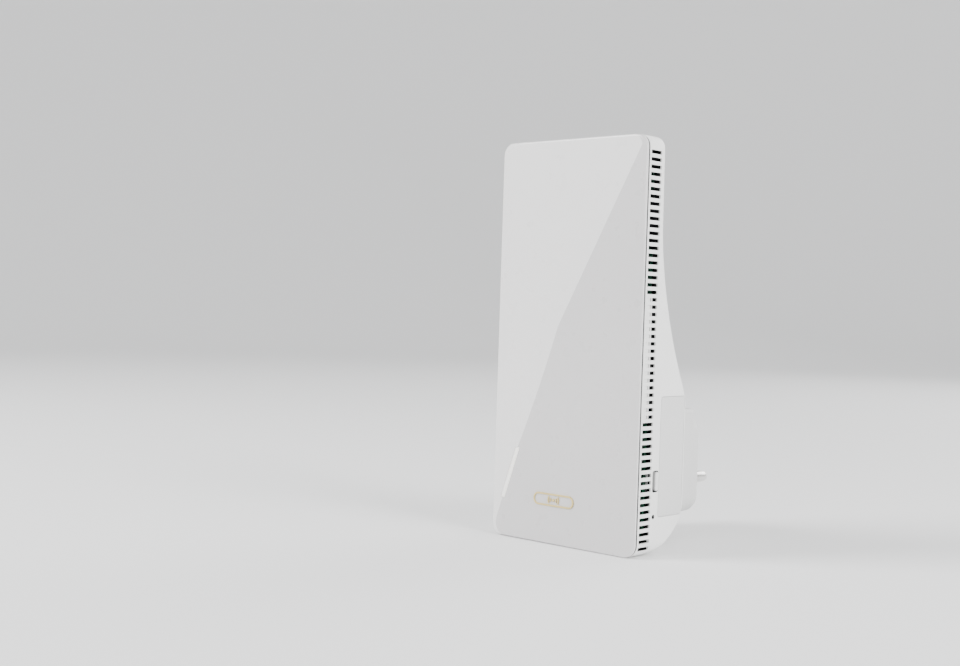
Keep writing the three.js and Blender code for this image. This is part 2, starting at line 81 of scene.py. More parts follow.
CORNER_R = 5.0
COVER_T = 1.4
COVER_EDGE_R = 0.8
SEAM = 0.9
SLAB_DEPTH = 13.2
WALL = 2.0
REAR_EDGE_R = 2.4
VENTS = 55
VENT_TOP_Z = 73.4
VENT_PITCH = 2.78
VENT_H = 1.4
VENT_FRONT, VENT_SPLIT, VENT_REAR = 3.2, 6.6, 9.8
HALF_VENTS = range(20, 37)
BLIND_DEPTH = 0.6
VENT_WALL = 0.6
CORNER_VENT_WALL = 1.1
BAR_W = 2.0
FACET_SLOPE = 0.008
FACET_DEPTH = 0.55
CREASE_BEND = (-4.3, 6.3)
CREASE_SLOPE = 0.548
CREASE_BOW = 0.66
PIN_D = 4.8
BUTTON_W, BUTTON_HALF_H = 1.9, 3.7
BUTTON_SHIFT = 0.5
BUTTON_HOLE_W, BUTTON_HOLE_HALF_H, BUTTON_HOLE_SHIFT = 3.7, 4.15, -0.35
RESET_HOLE_R = 0.85
LABEL_SEAT = 0.5
PLUG_HEAD_Y = 5.0
PLUG_HEAD_DROP = 1.5
SOCKET_W, SOCKET_H, SOCKET_DEPTH = 11.8, 6.8, 12
LATCH_W, LATCH_H = 6, 5.4


# ---------- mesh helpers ----------

def finish_mesh(name, bm, angle=32):
    """A linked object from a bmesh in body millimetres, smooth where the surface bends gently."""
    bmesh.ops.recalc_face_normals(bm, faces=bm.faces)
    mesh = bpy.data.meshes.new(name)
    bm.to_mesh(mesh)
    bm.free()
    mesh.transform(Matrix.Translation(ORIGIN) @ Matrix.Scale(MM, 4))
    mesh.shade_smooth()
    mesh.set_sharp_from_angle(angle=math.radians(angle))
    piece = bpy.data.objects.new(name, mesh)
    bpy.context.scene.collection.objects.link(piece)
    return piece


def add_loft(bm, rings):
    """Closed solid through equal closed rings, with a flat face at each end."""
    loops = [[bm.verts.new(p) for p in ring] for ring in rings]
    count = len(loops[0])
    for low, high in zip(loops, loops[1:]):
        for i in range(count):
            j = (i + 1) % count
            bm.faces.new((low[i], low[j], high[j], high[i]))
    bm.faces.new(loops[0][::-1])
    bm.faces.new(loops[-1])


def loft(name, rings, angle=32):
    bm = bmesh.new()
    add_loft(bm, rings)
    return finish_mesh(name, bm, angle)


def arc(cx, cz, r, start, end, steps):
    """Points on a circle, angles in degrees."""
    turns = [math.radians(start + (end - start) * i / steps) for i in range(steps + 1)]
    return [(cx + r * math.cos(a), cz + r * math.sin(a)) for a in turns]


def rounded_rect(w, top, bottom, r_top, r_bottom, steps=10, inset=0.0):
    half = w / 2 - inset
    top, bottom = top - inset, bottom + inset
    rt, rb = max(r_top - inset, 0.05), max(r_bottom - inset, 0.05)
    points = arc(half - rt, top - rt, rt, 0, 90, steps)
    points += arc(-half + rt, top - rt, rt, 90, 180, steps)
    points += arc(-half + rb, bottom + rb, rb, 180, 270, steps)
    points += arc(half - rb, bottom + rb, rb, 270, 360, steps)
    return points


def edge_steps(r, steps):
    """(inset, height below the end) pairs of a quarter-round edge, from the side wall to the end."""
    turns = [math.pi / 2 * i / steps for i in range(steps + 1)]
    return [(r * (1 - math.cos(a)), r * (1 - math.sin(a))) for a in turns]


def box_into(bm, x0, x1, y0, y1, z0, z1):
    corners = [(x0, y0), (x1, y0), (x1, y1), (x0, y1)]
    add_loft(bm, [[(x, y, z) for x, y in corners] for z in (z0, z1)])


def prism_y(bm, outline, y0, y1):
    add_loft(bm, [[(x, y, z) for x, z in outline] for y in (y0, y1)])


def prism_x(bm, outline, x0, x1):
    add_loft(bm, [[(x, y, z) for y, z in outline] for x in (x0, x1)])


def use_second_material(tool, materials):
    """Makes the faces that a tool leaves in a piece take the second of the piece's two materials."""
    for material in materials:
        tool.data.materials.append(material)
    for face in tool.data.polygons:
        face.material_index = 1


def cut_away(piece, name, fill, angle=32, materials=()):
    """Cuts from a piece the solids that fill(bm) makes."""
    bm = bmesh.new()
    fill(bm)
    tool = finish_mesh(name, bm)
    if materials:
        use_second_material(tool, materials)
    combine(piece, tool, "DIFFERENCE", angle)


def combine(piece, tool, operation, angle=32):
    step = piece.modifiers.new("combine", "BOOLEAN")
    step.operation = operation
    step.solver = "EXACT"
    step.object = tool
    bpy.context.view_layer.update()
    shaped = bpy.data.meshes.new_from_object(piece.evaluated_get(bpy.context.evaluated_depsgraph_get()))
    piece.modifiers.clear()
    piece.data = shaped
    shaped.shade_smooth()
    shaped.set_sharp_from_angle(angle=math.radians(angle))
    bpy.data.objects.remove(tool)


def settle(piece, material, body, slot, *nodes):
    """Gives a piece its material and body and hides the nodes that it stands for; slot is not used."""
    if not piece.data.materials:
        piece.data.materials.append(material)
    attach(piece, body)
    if nodes:
        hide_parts(*nodes)
    return piece


# ---------- materials ----------

def new_material(name, colour, roughness, metallic=0.0):
    material = bpy.data.materials.new(name)
    material.use_nodes = True
    shader = material.node_tree.nodes["Principled BSDF"]
    shader.inputs["Base Color"].default_value = (*colour, 1)
    shader.inputs["Roughness"].default_value = roughness
    shader.inputs["Metallic"].default_value = metallic
    return material, shader


def noise(material, scale, detail=3.0, stretch=(1, 1, 1)):
    nodes, links = material.node_tree.nodes, material.node_tree.links
    place = nodes.new("ShaderNodeTexCoord")
    mapping = nodes.new("ShaderNodeMapping")
    mapping.inputs["Scale"].default_value = stretch
    texture = nodes.new("ShaderNodeTexNoise")
    texture.inputs["Scale"].default_value = scale
    texture.inputs["Detail"].default_value = detail
    links.new(place.outputs["Object"], mapping.inputs["Vector"])
    links.new(mapping.outputs["Vector"], texture.inputs["Vector"])
    return texture.outputs["Fac"]


def vary_roughness(material, shader, source, low, high):
    nodes, links = material.node_tree.nodes, material.node_tree.links
    spread = nodes.new("ShaderNodeMapRange")
    spread.inputs["From Min"].default_value = 0.3
    spread.inputs["From Max"].default_value = 0.7
    spread.inputs["To Min"].default_value = low
    spread.inputs["To Max"].default_value = high
    links.new(source, spread.inputs["Value"])
    links.new(spread.outputs["Result"], shader.inputs["Roughness"])


def vary_colour(material, shader, source, dark, light):
    nodes, links = material.node_tree.nodes, material.node_tree.links
    ramp = nodes.new("ShaderNodeValToRGB")
    ramp.color_ramp.elements[0].position = 0.3
    ramp.color_ramp.elements[0].color = (*dark, 1)
    ramp.color_ramp.elements[1].position = 0.7
    ramp.color_ramp.elements[1].color = (*light, 1)
    links.new(source, ramp.inputs["Fac"])
    links.new(ramp.outputs["Color"], shader.inputs["Base Color"])


def add_bump(material, shader, source, distance, strength=1.0):
    nodes, links = material.node_tree.nodes, material.node_tree.links
    bump = nodes.new("ShaderNodeBump")
    bump.inputs["Strength"].default_value = strength
    bump.inputs["Distance"].default_value = distance
    links.new(source, bump.inputs["Height"])
    links.new(bump.outputs["Normal"], shader.inputs["Normal"])


def shade(colour, factor):
    return tuple(channel * factor for channel in colour)


def plastic(name, colour, roughness, grain_scale=2600.0, grain=0.000012, spread=0.05, tint=0.02):
    """Moulded plastic: faint cloudiness in colour, uneven gloss and a fine spark-eroded grain."""
    material, shader = new_material(name, colour, roughness)
    shader.inputs["Specular IOR Level"].default_value = 0.5
    clouds = noise(material, 45.0)
    vary_colour(material, shader, clouds, shade(colour, 1 - tint), shade(colour, 1 + tint))
    vary_roughness(material, shader, noise(material, 160.0), roughness - spread, roughness + spread)
    add_bump(material, shader, noise(material, grain_scale, 2.0), grain)
    return material


def gloss_panel(name, colour):
    """Front panel plastic: smooth satin gloss with a slight waviness from moulding."""
    material = plastic(name, colour, 0.3, grain_scale=220.0, grain=0.00002, spread=0.04, tint=0.006)
    shader = material.node_tree.nodes["Principled BSDF"]
    shader.inputs["Coat Weight"].default_value = 0.35
    shader.inputs["Coat Roughness"].default_value = 0.16
    return material


def metal(name, colour, roughness, stretch, grain=0.000006):
    """Metal with fine drawn lines along one direction and uneven polish."""
    material, shader = new_material(name, colour, roughness, 1.0)
    lines = noise(material, 900.0, 4.0, stretch)
    vary_colour(material, shader, noise(material, 120.0), shade(colour, 0.93), shade(colour, 1.04))
    vary_roughness(material, shader, lines, roughness - 0.06, roughness + 0.1)
    add_bump(material, shader, lines, grain)
    return material


def diffuser(name, colour):
    """Milky translucent plastic, with a faint warm glow as painted light that makes it read brighter."""
    material = plastic(name, colour, 0.34, grain_scale=900.0, grain=0.000008)
    shader = material.node_tree.nodes["Principled BSDF"]
    shader.inputs["Subsurface Weight"].default_value = 0.35
    shader.inputs["Subsurface Radius"].default_value = (0.002, 0.0018, 0.0015)
    shader.inputs["Subsurface Scale"].default_value = 0.4
    # Painted light: a faint warm glow that brightens the part.
    shader.inputs["Emission Color"].default_value = (1.0, 0.95, 0.86, 1)
    shader.inputs["Emission Strength"].default_value = 0.28
    return material


def circuit_board(name):
    """Green solder mask over copper: fine straight tracks and pads show as raised, lighter lines."""
    green = (0.004, 0.03, 0.016)
    material, shader = new_material(name, green, 0.4)
    nodes, links = material.node_tree.nodes, material.node_tree.links
    place = nodes.new("ShaderNodeTexCoord")
    tracks = nodes.new("ShaderNodeTexVoronoi")
    tracks.distance = "MANHATTAN"
    tracks.feature = "DISTANCE_TO_EDGE"
    tracks.inputs["Scale"].default_value = 420.0
    links.new(place.outputs["Object"], tracks.inputs["Vector"])
    vary_colour(material, shader, tracks.outputs["Distance"], shade(green, 1.7), green)
    add_bump(material, shader, tracks.outputs["Distance"], -0.00002)
    vary_roughness(material, shader, noise(material, 300.0), 0.32, 0.5)
    return material


WHITE = plastic("housing_white", (0.86, 0.86, 0.85), 0.44)
# One gloss finish in two tones: a lighter copy as painted light for the left facet, a darker copy as painted
# shade for the facet right of the fold.
COVER_PAINTED_LIGHT = gloss_panel("cover_gloss_painted_light", (0.80, 0.79, 0.785))
COVER_PAINTED_SHADE = gloss_panel("cover_gloss_painted_shade", (0.60, 0.588, 0.59))
PLUG_WHITE = plastic("plug_white", (0.66, 0.66, 0.655), 0.5, grain=0.00002)
BUTTON_WHITE = plastic("button_white", (0.74, 0.74, 0.735), 0.4)
LABEL_FILM = plastic("label_film", (0.68, 0.68, 0.675), 0.42, grain_scale=5000.0, grain=0.000006)
LENS_MILK = diffuser("lens_milk", (0.95, 0.93, 0.885))
GUIDE_CLEAR = diffuser("guide_clear", (0.8, 0.82, 0.82))
GOLD = metal("champagne_gold", (0.74, 0.60, 0.27), 0.42, (1, 1, 12))
NICKEL = metal("nickel_plate", (0.88, 0.87, 0.85), 0.3, (1, 0.1, 1))
CONTACT = metal("contact_plate", (0.83, 0.62, 0.25), 0.22, (0.1, 1, 1))
ALUMINIUM = metal("heatsink_aluminium", (0.62, 0.63, 0.64), 0.35, (1, 1, 0.05))
TIN = metal("tinned_steel", (0.55, 0.56, 0.57), 0.3, (0.1, 1, 1))
STEEL = metal("screw_zinc", (0.48, 0.48, 0.5), 0.3, (1, 1, 1))
BOARD = circuit_board("board_green")
CHIP = plastic("chip_epoxy", (0.02, 0.02, 0.022), 0.5, grain=0.00003)
BLACK = plastic("black_plastic", (0.018, 0.018, 0.02), 0.42)
# Near-black painted shadow for the seam behind the cover.
SEAM_PAINTED_SHADOW = plastic("seam_painted_shadow", (0.022, 0.02, 0.026), 0.6)
# Near-black inner faces: painted shade that darkens the inside seen through the vents.
INSIDE_PAINTED_SHADE = plastic("housing_inside_painted_shade", (0.02, 0.02, 0.022), 0.7)
PAD = plastic("silicone_pad", (0.22, 0.36, 0.48), 0.75, grain=0.00003)
TAPE = plastic("winding_tape", (0.62, 0.42, 0.06), 0.35)
SLEEVE = plastic("capacitor_sleeve", (0.02, 0.03, 0.09), 0.25)
BROWN = plastic("live_insulation", (0.14, 0.05, 0.02), 0.4)
BLUE = plastic("neutral_insulation", (0.02, 0.08, 0.32), 0.4)
FUSE = plastic("fuse_body", (0.10, 0.035, 0.015), 0.35)

CARRIED = {
    "light_guide": GUIDE_CLEAR, "live_wire": BROWN, "neutral_wire": BLUE, "pairing_switch": BLACK,
    "reset_switch": BLACK, "reset_plunger": NICKEL, "ethernet_contacts": CONTACT, "main_board": BOARD,
    "wifi_processor": CHIP, "thermal_pad": PAD, "heatsink": ALUMINIUM, "radio_shield_2g": TIN,
    "radio_shield_5g": TIN, "memory_chip": CHIP, "network_transformer": CHIP, "left_antenna": BOARD,
    "right_antenna": BOARD, "left_antenna_cable": BLACK, "right_antenna_cable": BLACK,
    "left_antenna_socket": CONTACT, "right_antenna_socket": CONTACT, "power_board": BOARD,
    "power_transformer": TAPE, "bulk_capacitor_1": SLEEVE, "bulk_capacitor_2": SLEEVE,
    "output_capacitor": SLEEVE, "bridge_rectifier": CHIP, "input_fuse": FUSE, "line_choke": TAPE,
    "board_link": CONTACT, "main_board_screw_1": STEEL, "main_board_screw_2": STEEL,
    "main_board_screw_3": STEEL, "main_board_screw_4": STEEL, "power_board_screw_1": STEEL,
    "power_board_screw_2": STEEL, "plug_screw_1": STEEL, "plug_screw_2": STEEL,
    "status_led_1": LENS_MILK, "status_led_2": LENS_MILK, "status_led_3": LENS_MILK,
}


def paint_carried_nodes():
    for name, material in CARRIED.items():
        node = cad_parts[name]
        node.data.materials.clear()
        node.data.materials.append(material)


# ---------- housing ----------

def bezier(p0, p1, p2, p3, steps):
    points = []
    for i in range(steps + 1):
        t = i / steps
        u = 1 - t
        weights = (u ** 3, 3 * u * u * t, 3 * u * t * t, t ** 3)
        points.append(tuple(sum(w * p[k] for w, p in zip(weights, (p0, p1, p2, p3))) for k in (0, 1)))
    return points


def side_profile(inset):
    """(y, z) points of the body's back, from the bottom edge up to the top edge."""
    hump = HOUSING_HIGH.y - inset
    low = -BODY_H / 2 + inset
    belly = bezier((6, low), (20 - 0.4 * inset, -79.6 + inset),
                   (31.8 - 0.9 * inset, -70.5 + 0.5 * inset), (hump, -62), 28)
    shoulder_end = (30 - 0.9 * inset, -14.5 - 0.5 * inset)
    shoulder = bezier((hump, -24), (hump - 0.05, -20.6), (hump - 1.2, -17.2), shoulder_end, 10)
    sweep = bezier(shoulder_end, (20.3 - 0.85 * inset, 4.5 - 0.5 * inset),
                   (14 - inset, 28 - 0.3 * inset), (13.6 - inset, 46), 32)
    top = BODY_H / 2 - inset
    edge_r = 1.2 if inset == 0 else 0.2
    slab = SLAB_DEPTH - inset
    ridge = [(slab - i, top - h) for i, h in edge_steps(edge_r, 6)]
    return belly + shoulder + sweep[1:] + ridge


def half_width(z, inset):
    """Half the body's width at a height, with its rounded front corners."""
    r = max(CORNER_R - inset, 1.0)
    beyond = abs(z) - (BODY_H / 2 - inset - r)
    half = BODY_W / 2 - inset
    if beyond <= 0:
        return half
    return half - r + math.sqrt(max(r * r - beyond * beyond, 0.0))


def body_ring(y_back, z, inset, y_front, soft):
    """The body's section at a height: front edge, side walls, rounded rear edges, flat back."""
    w = half_width(z, inset)
    r = min(REAR_EDGE_R if inset <= 0 else 0.8, (y_back - y_front) * 0.45)
    s = soft
    right = [(w - s, y_front), (w - s * 0.3, y_front + s * 0.3), (w, y_front + s)]
    right += [(w, y_front + s + (y_back - r - y_front - s) * i / 4) for i in range(1, 4)]
    right += [(w - r + r * math.cos(a), y_back - r + r * math.sin(a))
              for a in (math.pi / 2 * i / 8 for i in range(9))]
    left = [(-x, y) for x, y in reversed(right)]
    return [(x, y, z) for x, y in right + left]


def body_levels(inset):
    """(y, z) of every section, with extra ones round the corners."""
    profile = side_profile(inset)
    extra = [BODY_H / 2 - inset - CORNER_R + CORNER_R * math.sin(math.pi / 2 * i / 10) for i in range(10)]
    heights = sorted(set([round(z, 3) for _, z in profile] + [round(z, 3) for z in extra]))
    heights += [round(-z, 3) for z in extra] + [2.0 * i for i in range(24, 37)]
    heights = sorted(h for h in set(heights) if abs(h) <= BODY_H / 2 - inset)
    levels = []
    for z in heights:
        for (y0, z0), (y1, z1) in zip(profile, profile[1:]):
            if z0 <= z <= z1 and z1 > z0:
                levels.append((y0 + (y1 - y0) * (z - z0) / (z1 - z0), z))
                break
    return levels


def body_loft(name, inset, y_front, soft=0.02):
    rings = [body_ring(y, z, inset, y_front, soft) for y, z in body_levels(inset)]
    return loft(name, rings, 24)


def vent_boxes(bm):
    for i in range(VENTS):
        z = VENT_TOP_Z - i * VENT_PITCH
        front = VENT_SPLIT if i in HALF_VENTS else VENT_FRONT
        box_into(bm, -BODY_W, BODY_W, front, VENT_REAR, z - VENT_H / 2, z + VENT_H / 2)


def blind_vents(bm):
    floor = BODY_W / 2 - BLIND_DEPTH
    for i in HALF_VENTS:
        z = VENT_TOP_Z - i * VENT_PITCH
        for side in (-1, 1):
            x0, x1 = sorted((side * floor, side * BODY_W))
            box_into(bm, x0, x1, VENT_FRONT, VENT_SPLIT - 0.25, z - VENT_H / 2, z + VENT_H / 2)


def vent_relief(bm):
    """Thins the side walls from inside along the vents, less so beside the lower corners."""
    margin = 0.8
    first, last = HALF_VENTS[0], HALF_VENTS[-1]
    spans = (
        (0, first - 1, VENT_FRONT, VENT_WALL),
        (first, last, VENT_SPLIT, VENT_WALL),
        (last + 1, VENTS - 3, VENT_FRONT, VENT_WALL),
        (VENTS - 2, VENTS - 1, VENT_FRONT, CORNER_VENT_WALL),
    )
    for start, end, front, wall in spans:
        top = VENT_TOP_Z - start * VENT_PITCH + VENT_PITCH / 2
        low = VENT_TOP_Z - end * VENT_PITCH - margin
        for side in (-1, 1):
            x0, x1 = sorted((side * 30, side * (BODY_W / 2 - wall)))
            box_into(bm, x0, x1, front - 0.4, VENT_REAR + margin, low, top)


def middle(low, high):
    return (low + high) / 2


def control_openings(bm):
    """The button's hole, wider on its front side, and the reset hole."""
    centre = middle(BUTTON_LOW, BUTTON_HIGH)
    y0 = centre.y + BUTTON_HOLE_SHIFT
    hole = rounded_rect(BUTTON_HOLE_W, BUTTON_HOLE_HALF_H, -BUTTON_HOLE_HALF_H, 1.0, 1.0, 8)
    prism_x(bm, [(y0 + y, centre.z + z) for y, z in hole], BODY_W / 2 - 4, BODY_W)
    reset = middle(RESET_LOW, RESET_HIGH)
    prism_x(bm, arc(reset.y, reset.z, RESET_HOLE_R, 0, 345, 23), BODY_W / 2 - 4, BODY_W)


def side_openings(bm):
    """Jack window and the label's shallow seat."""
    gap = 0.15
    low, high = JACK_LOW, JACK_HIGH
    box_into(bm, -BODY_W, -BODY_W / 2 + 4, low.y - gap, high.y + gap, low.z - gap, high.z + gap)
    seat = middle(LABEL_LOW, LABEL_HIGH)
    gap = 0.2
    w = LABEL_HIGH.y - LABEL_LOW.y + 2 * gap
    h = (LABEL_HIGH.z - LABEL_LOW.z) / 2 + gap
    outline = rounded_rect(w, h, -h, 1.3, 1.3, 6)
    prism_x(bm, [(seat.y + y, seat.z + z) for y, z in outline], BODY_W / 2 - LABEL_SEAT, BODY_W)


def make_housing():
    """The vented shell; the faces that the inner cuts leave take a near-black material, painted shade that
    darkens the inside seen through the vents.
    """
    both = (WHITE, INSIDE_PAINTED_SHADE)
    shell = body_loft("housing_shell", 0, COVER_T + SEAM, 0.25)
    for material in both:
        shell.data.materials.append(material)
    hollow = body_loft("housing_hollow", WALL, -2)
    use_second_material(hollow, both)
    combine(shell, hollow, "DIFFERENCE", 24)
    cut_away(shell, "vent_relief", vent_relief, 24, both)
    cut_away(shell, "vents", vent_boxes, 24)
    cut_away(shell, "blind_vents", blind_vents, 24)
    cut_away(shell, "control_openings", control_openings, 24, both)
    cut_away(shell, "side_openings", side_openings, 24)
    settle(shell, WHITE, "body", "housing_plastic", "rear_housing")


# ---------- front cover ----------

def crease_x(z):
    """Where the fold between the two front facets lies: straight above, bending into the light bar."""
    bar_top = (LENS_HIGH.x - BAR_W / 2, LENS_HIGH.z)
    bar_bottom = (LENS_LOW.x + BAR_W / 2, LENS_LOW.z)
    if z >= CREASE_BEND[1]:
        return CREASE_BEND[0] + (z - CREASE_BEND[1]) * CREASE_SLOPE
    if z >= bar_top[1]:
        t = (z - bar_top[1]) / (CREASE_BEND[1] - bar_top[1])
        straight = bar_top[0] + (CREASE_BEND[0] - bar_top[0]) * t
        return straight + 4 * CREASE_BOW * t * (1 - t)
    slope = (bar_top[0] - bar_bottom[0]) / (bar_top[1] - bar_bottom[1])
    return bar_top[0] + (z - bar_top[1]) * slope


def cover_rows():
    """z of each row, close together at the rounded corners and the edge."""
    top = BODY_H / 2
    turn = [top - CORNER_R + CORNER_R * math.sin(math.pi / 2 * i / 12) for i in range(13)]
    edge = [top - COVER_EDGE_R * (1 - math.sin(math.pi / 2 * i / 5)) for i in range(6)]
    upper = sorted(set(round(z, 4) for z in turn + edge))
    flat = [upper[0] * (i / 38) for i in range(-37, 38)]
    return [-z for z in reversed(upper)] + flat + upper


def edge_distance(x, z):
    """Distance inwards from the cover's rounded outline."""
    dx = abs(x) - (BODY_W / 2 - CORNER_R)
    dz = abs(z) - (BODY_H / 2 - CORNER_R)
    outside = math.hypot(max(dx, 0), max(dz, 0))
    return CORNER_R - (outside if dx > 0 or dz > 0 else max(dx, dz))


def cover_depth(x, z):
    """How far the front lies behind the cover's foremost plane: rounded edge, then the sloping facet."""
    inset = max(min(edge_distance(x, z), COVER_EDGE_R), 0.0)
    rounding = COVER_EDGE_R - math.sqrt(COVER_EDGE_R ** 2 - (COVER_EDGE_R - inset) ** 2)
    fold = max(x - crease_x(z), 0.0) * FACET_SLOPE
    return max(rounding, min(fold, FACET_DEPTH))


def cover_row(z):
    """x of each column in a row: close together at the edges, one column on the fold."""
    half = half_width(z, 0)
    near = [COVER_EDGE_R * (1 - math.cos(math.pi / 2 * i / 5)) for i in range(6)]
    near = [min(n, half * 0.05 * i) for i, n in enumerate(near)]
    fold = min(max(crease_x(z), -half + 2), half - 2)
    left_end, right_end = -half + near[-1], half - near[-1]
    left = [left_end + (fold - left_end) * i / 8 for i in range(1, 9)]
    right = [fold + (right_end - fold) * i / 8 for i in range(1, 8)]
    return [-half + n for n in near] + left + right + [half - n for n in reversed(near)]


def make_cover():
    """The front panel on a grid whose columns follow the fold, with a slot for the light bar; the facet
    right of the fold takes a darker copy of the finish as painted shade.
    """
    bm = bmesh.new()
    rows = cover_rows()
    front, back = [], []
    for z in rows:
        xs = cover_row(z)
        front.append([bm.verts.new((x, cover_depth(x, z), z)) for x in xs])
        back.append([bm.verts.new((x, COVER_T, z)) for x in xs])
    columns = len(front[0])
    fold_column = 13
    for j in range(len(rows) - 1):
        for i in range(columns - 1):
            face = bm.faces.new((front[j][i], front[j][i + 1], front[j + 1][i + 1], front[j + 1][i]))
            # Faces right of the fold take the darker copy: painted shade for the facet turned from the
            # light.
            face.material_index = 1 if i >= fold_column else 0
            bm.faces.new((back[j][i], back[j + 1][i], back[j + 1][i + 1], back[j][i + 1]))
    rim = [(j, 0) for j in range(len(rows))]
    rim += [(len(rows) - 1, i) for i in range(1, columns)]
    rim += [(j, columns - 1) for j in range(len(rows) - 2, -1, -1)]
    rim += [(0, i) for i in range(columns - 2, 0, -1)]
    for (j0, i0), (j1, i1) in zip(rim, rim[1:] + rim[:1]):
        bm.faces.new((front[j0][i0], front[j1][i1], back[j1][i1], back[j0][i0]))
    cover = finish_mesh("cover_panel", bm, 30)
    cover.data.materials.append(COVER_PAINTED_LIGHT)
    cover.data.materials.append(COVER_PAINTED_SHADE)
    cut_away(cover, "bar_slot", lambda b: prism_y(b, bar_outline(0.07), -2, 4), 30)
    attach(cover, "body")
    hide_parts("front_cover")


def make_seam_shadow_strip():
    """A near-black ring in the seam behind the cover: painted shadow that darkens the gap."""
    strip_in, strip_w = 0.15, 1.75
    bm = bmesh.new()
    rings = []
    for inset, y in ((strip_in, COVER_T), (strip_in + strip_w, COVER_T),
                     (strip_in + strip_w, COVER_T + SEAM), (strip_in, COVER_T + SEAM)):
        outline = rounded_rect(BODY_W, BODY_H / 2, -BODY_H / 2, CORNER_R, CORNER_R, 12, inset)
        rings.append([bm.verts.new((x, y, z)) for x, z in outline])
    count = len(rings[0])
    for low, high in zip(rings, rings[1:] + rings[:1]):
        for i in range(count):
            j = (i + 1) % count
            bm.faces.new((low[i], low[j], high[j], high[i]))
    strip = finish_mesh("seam_shadow_strip", bm, 40)
    # The strip's near-black colour is painted shadow in the seam.
    settle(strip, SEAM_PAINTED_SHADOW, "body", "switch_black")


def bar_outline(grow):
    """The light bar's slanted outline, grown all round."""
    top, low = LENS_HIGH.z + grow, LENS_LOW.z - grow
    slope = (LENS_HIGH.x - BAR_W - LENS_LOW.x) / (LENS_HIGH.z - LENS_LOW.z)
    half = BAR_W / 2 + grow
    top_x = LENS_HIGH.x - BAR_W / 2 + slope * grow
    low_x = LENS_LOW.x + BAR_W / 2 - slope * grow
    return [(top_x - half, top), (top_x + half, top), (low_x + half, low), (low_x - half, low)]


def make_light_bar():
    edge = ((0, COVER_T + 0.1), (0, 0.2), (0.04, 0.1), (0.14, 0.05))
    rings = [[(x, y, z) for x, z in bar_outline(-inset)] for inset, y in edge]
    lens = loft("light_bar", rings, 40)
    settle(lens, LENS_MILK, "body", "diffuser", "light_bar_lens")


def stroke(bm, path, width, y0, y1, closed=False):
    """A flat raised line along a path of (x, z) points."""
    count = len(path)
    left, right = [], []
    for i, (x, z) in enumerate(path):
        ax, az = path[i - 1] if i > 0 or closed else path[i]
        bx, bz = path[(i + 1) % count] if i < count - 1 or closed else path[i]
        length = math.hypot(bx - ax, bz - az)
        nx, nz = -(bz - az) / length * width / 2, (bx - ax) / length * width / 2
        left.append((x + nx, z + nz))
        right.append((x - nx, z - nz))
    if not closed:
        prism_y(bm, left + right[::-1], y0, y1)
        return
    loops = [[bm.verts.new((x, y, z)) for x, z in side]
             for side, y in ((left, y0), (right, y0), (right, y1), (left, y1))]
    for a, b in zip(loops, loops[1:] + loops[:1]):
        for i in range(count):
            j = (i + 1) % count
            bm.faces.new((a[i], a[j], b[j], b[i]))


def make_emblem():
    """A generic radio sign, a dot between two pairs of arcs, in a thin oblong ring."""
    centre = middle(EMBLEM_LOW, EMBLEM_HIGH)
    w = EMBLEM_HIGH.x - EMBLEM_LOW.x
    h = EMBLEM_HIGH.z - EMBLEM_LOW.z
    front, back = EMBLEM_LOW.y + 0.03, 0.45
    line, dot_r, arc_radii = 0.62, 0.6, (1.5, 2.6)
    bm = bmesh.new()
    half = (h - line) / 2
    ring = rounded_rect(w - line, half, -half, half, half, 14)
    ring = dict.fromkeys((round(x, 4), round(z, 4)) for x, z in ring)
    ring = [(centre.x + x, centre.z + z) for x, z in ring]
    stroke(bm, ring, line, front, back, closed=True)
    for r in arc_radii:
        for start in (-30, 150):
            stroke(bm, arc(centre.x, centre.z, r, start, start + 60, 12), line * 0.8, front, back)
    prism_y(bm, arc(centre.x, centre.z, dot_r, 0, 345, 23), front, back)
    emblem = finish_mesh("radio_sign", bm, 40)
    settle(emblem, GOLD, "body", "gold_trim", "front_emblem")


# ---------- plug ----------

def plug_outline(top, r_top, inset):
    return rounded_rect(PLUG_HIGH.x - PLUG_LOW.x, top, PLUG_LOW.z, r_top, 7.5, 14, inset)


def make_plug():
    """A squarer base that meets the hump, and a rounder head that carries the pins."""
    step_y, face_y = PLUG_HIGH.y - PLUG_HEAD_Y, PLUG_HIGH.y
    top = PLUG_HIGH.z
    base_rings = [[(x, 22, z) for x, z in plug_outline(top, 2.2, 0)]]
    for inset, below in edge_steps(0.7, 5):
        base_rings.append([(x, step_y - below, z) for x, z in plug_outline(top, 2.2, inset)])
    base = loft("plug_base", base_rings, 28)
    combine(base, body_loft("body_clearance", -0.12, -4), "DIFFERENCE", 28)

    head_rings = [[(x, step_y - 0.4, z) for x, z in plug_outline(top - PLUG_HEAD_DROP, 9, 0.06)]]
    for inset, below in edge_steps(2.0, 10):
        outline = plug_outline(top - PLUG_HEAD_DROP, 9, 0.06 + inset)
        head_rings.append([(x, face_y - below, z) for x, z in outline])
    head = loft("plug_head", head_rings, 28)
    centre = middle(PIN_LOW, PIN_HIGH)

    def pin_holes(bm):
        for side in (-1, 1):
            hole = arc(side * centre.x, centre.z, PIN_D / 2 + 0.12, 0, 352.5, 47)
            prism_y(bm, hole, face_y - 3, face_y + 2)

    cut_away(head, "pin_holes", pin_holes, 28)
    settle(base, PLUG_WHITE, "body", "plug_plastic", "plug_block")
    settle(head, PLUG_WHITE, "body", "plug_plastic")


def make_pins():
    centre = middle(PIN_LOW, PIN_HIGH)
    r = PIN_D / 2
    face_y, end = PLUG_HIGH.y, PIN_HIGH.y
    for name, node, side in (("pin_live", "live_pin", 1), ("pin_neutral", "neutral_pin", -1)):
        rings = [(r - 0.15, face_y - 2.9), (r, face_y - 2.7)]
        for i in range(11):
            a = math.pi / 2 * i / 10.6
            rings.append((r * math.cos(a), end - r + r * math.sin(a)))
        loops = []
        for radius, y in rings:
            circle = arc(side * centre.x, centre.z, radius, 0, 352.5, 47)
            loops.append([(x, y, z) for x, z in circle])
        pin = loft(name, loops, 50)
        settle(pin, NICKEL, "body", "pin_metal", node)


# ---------- side pieces ----------

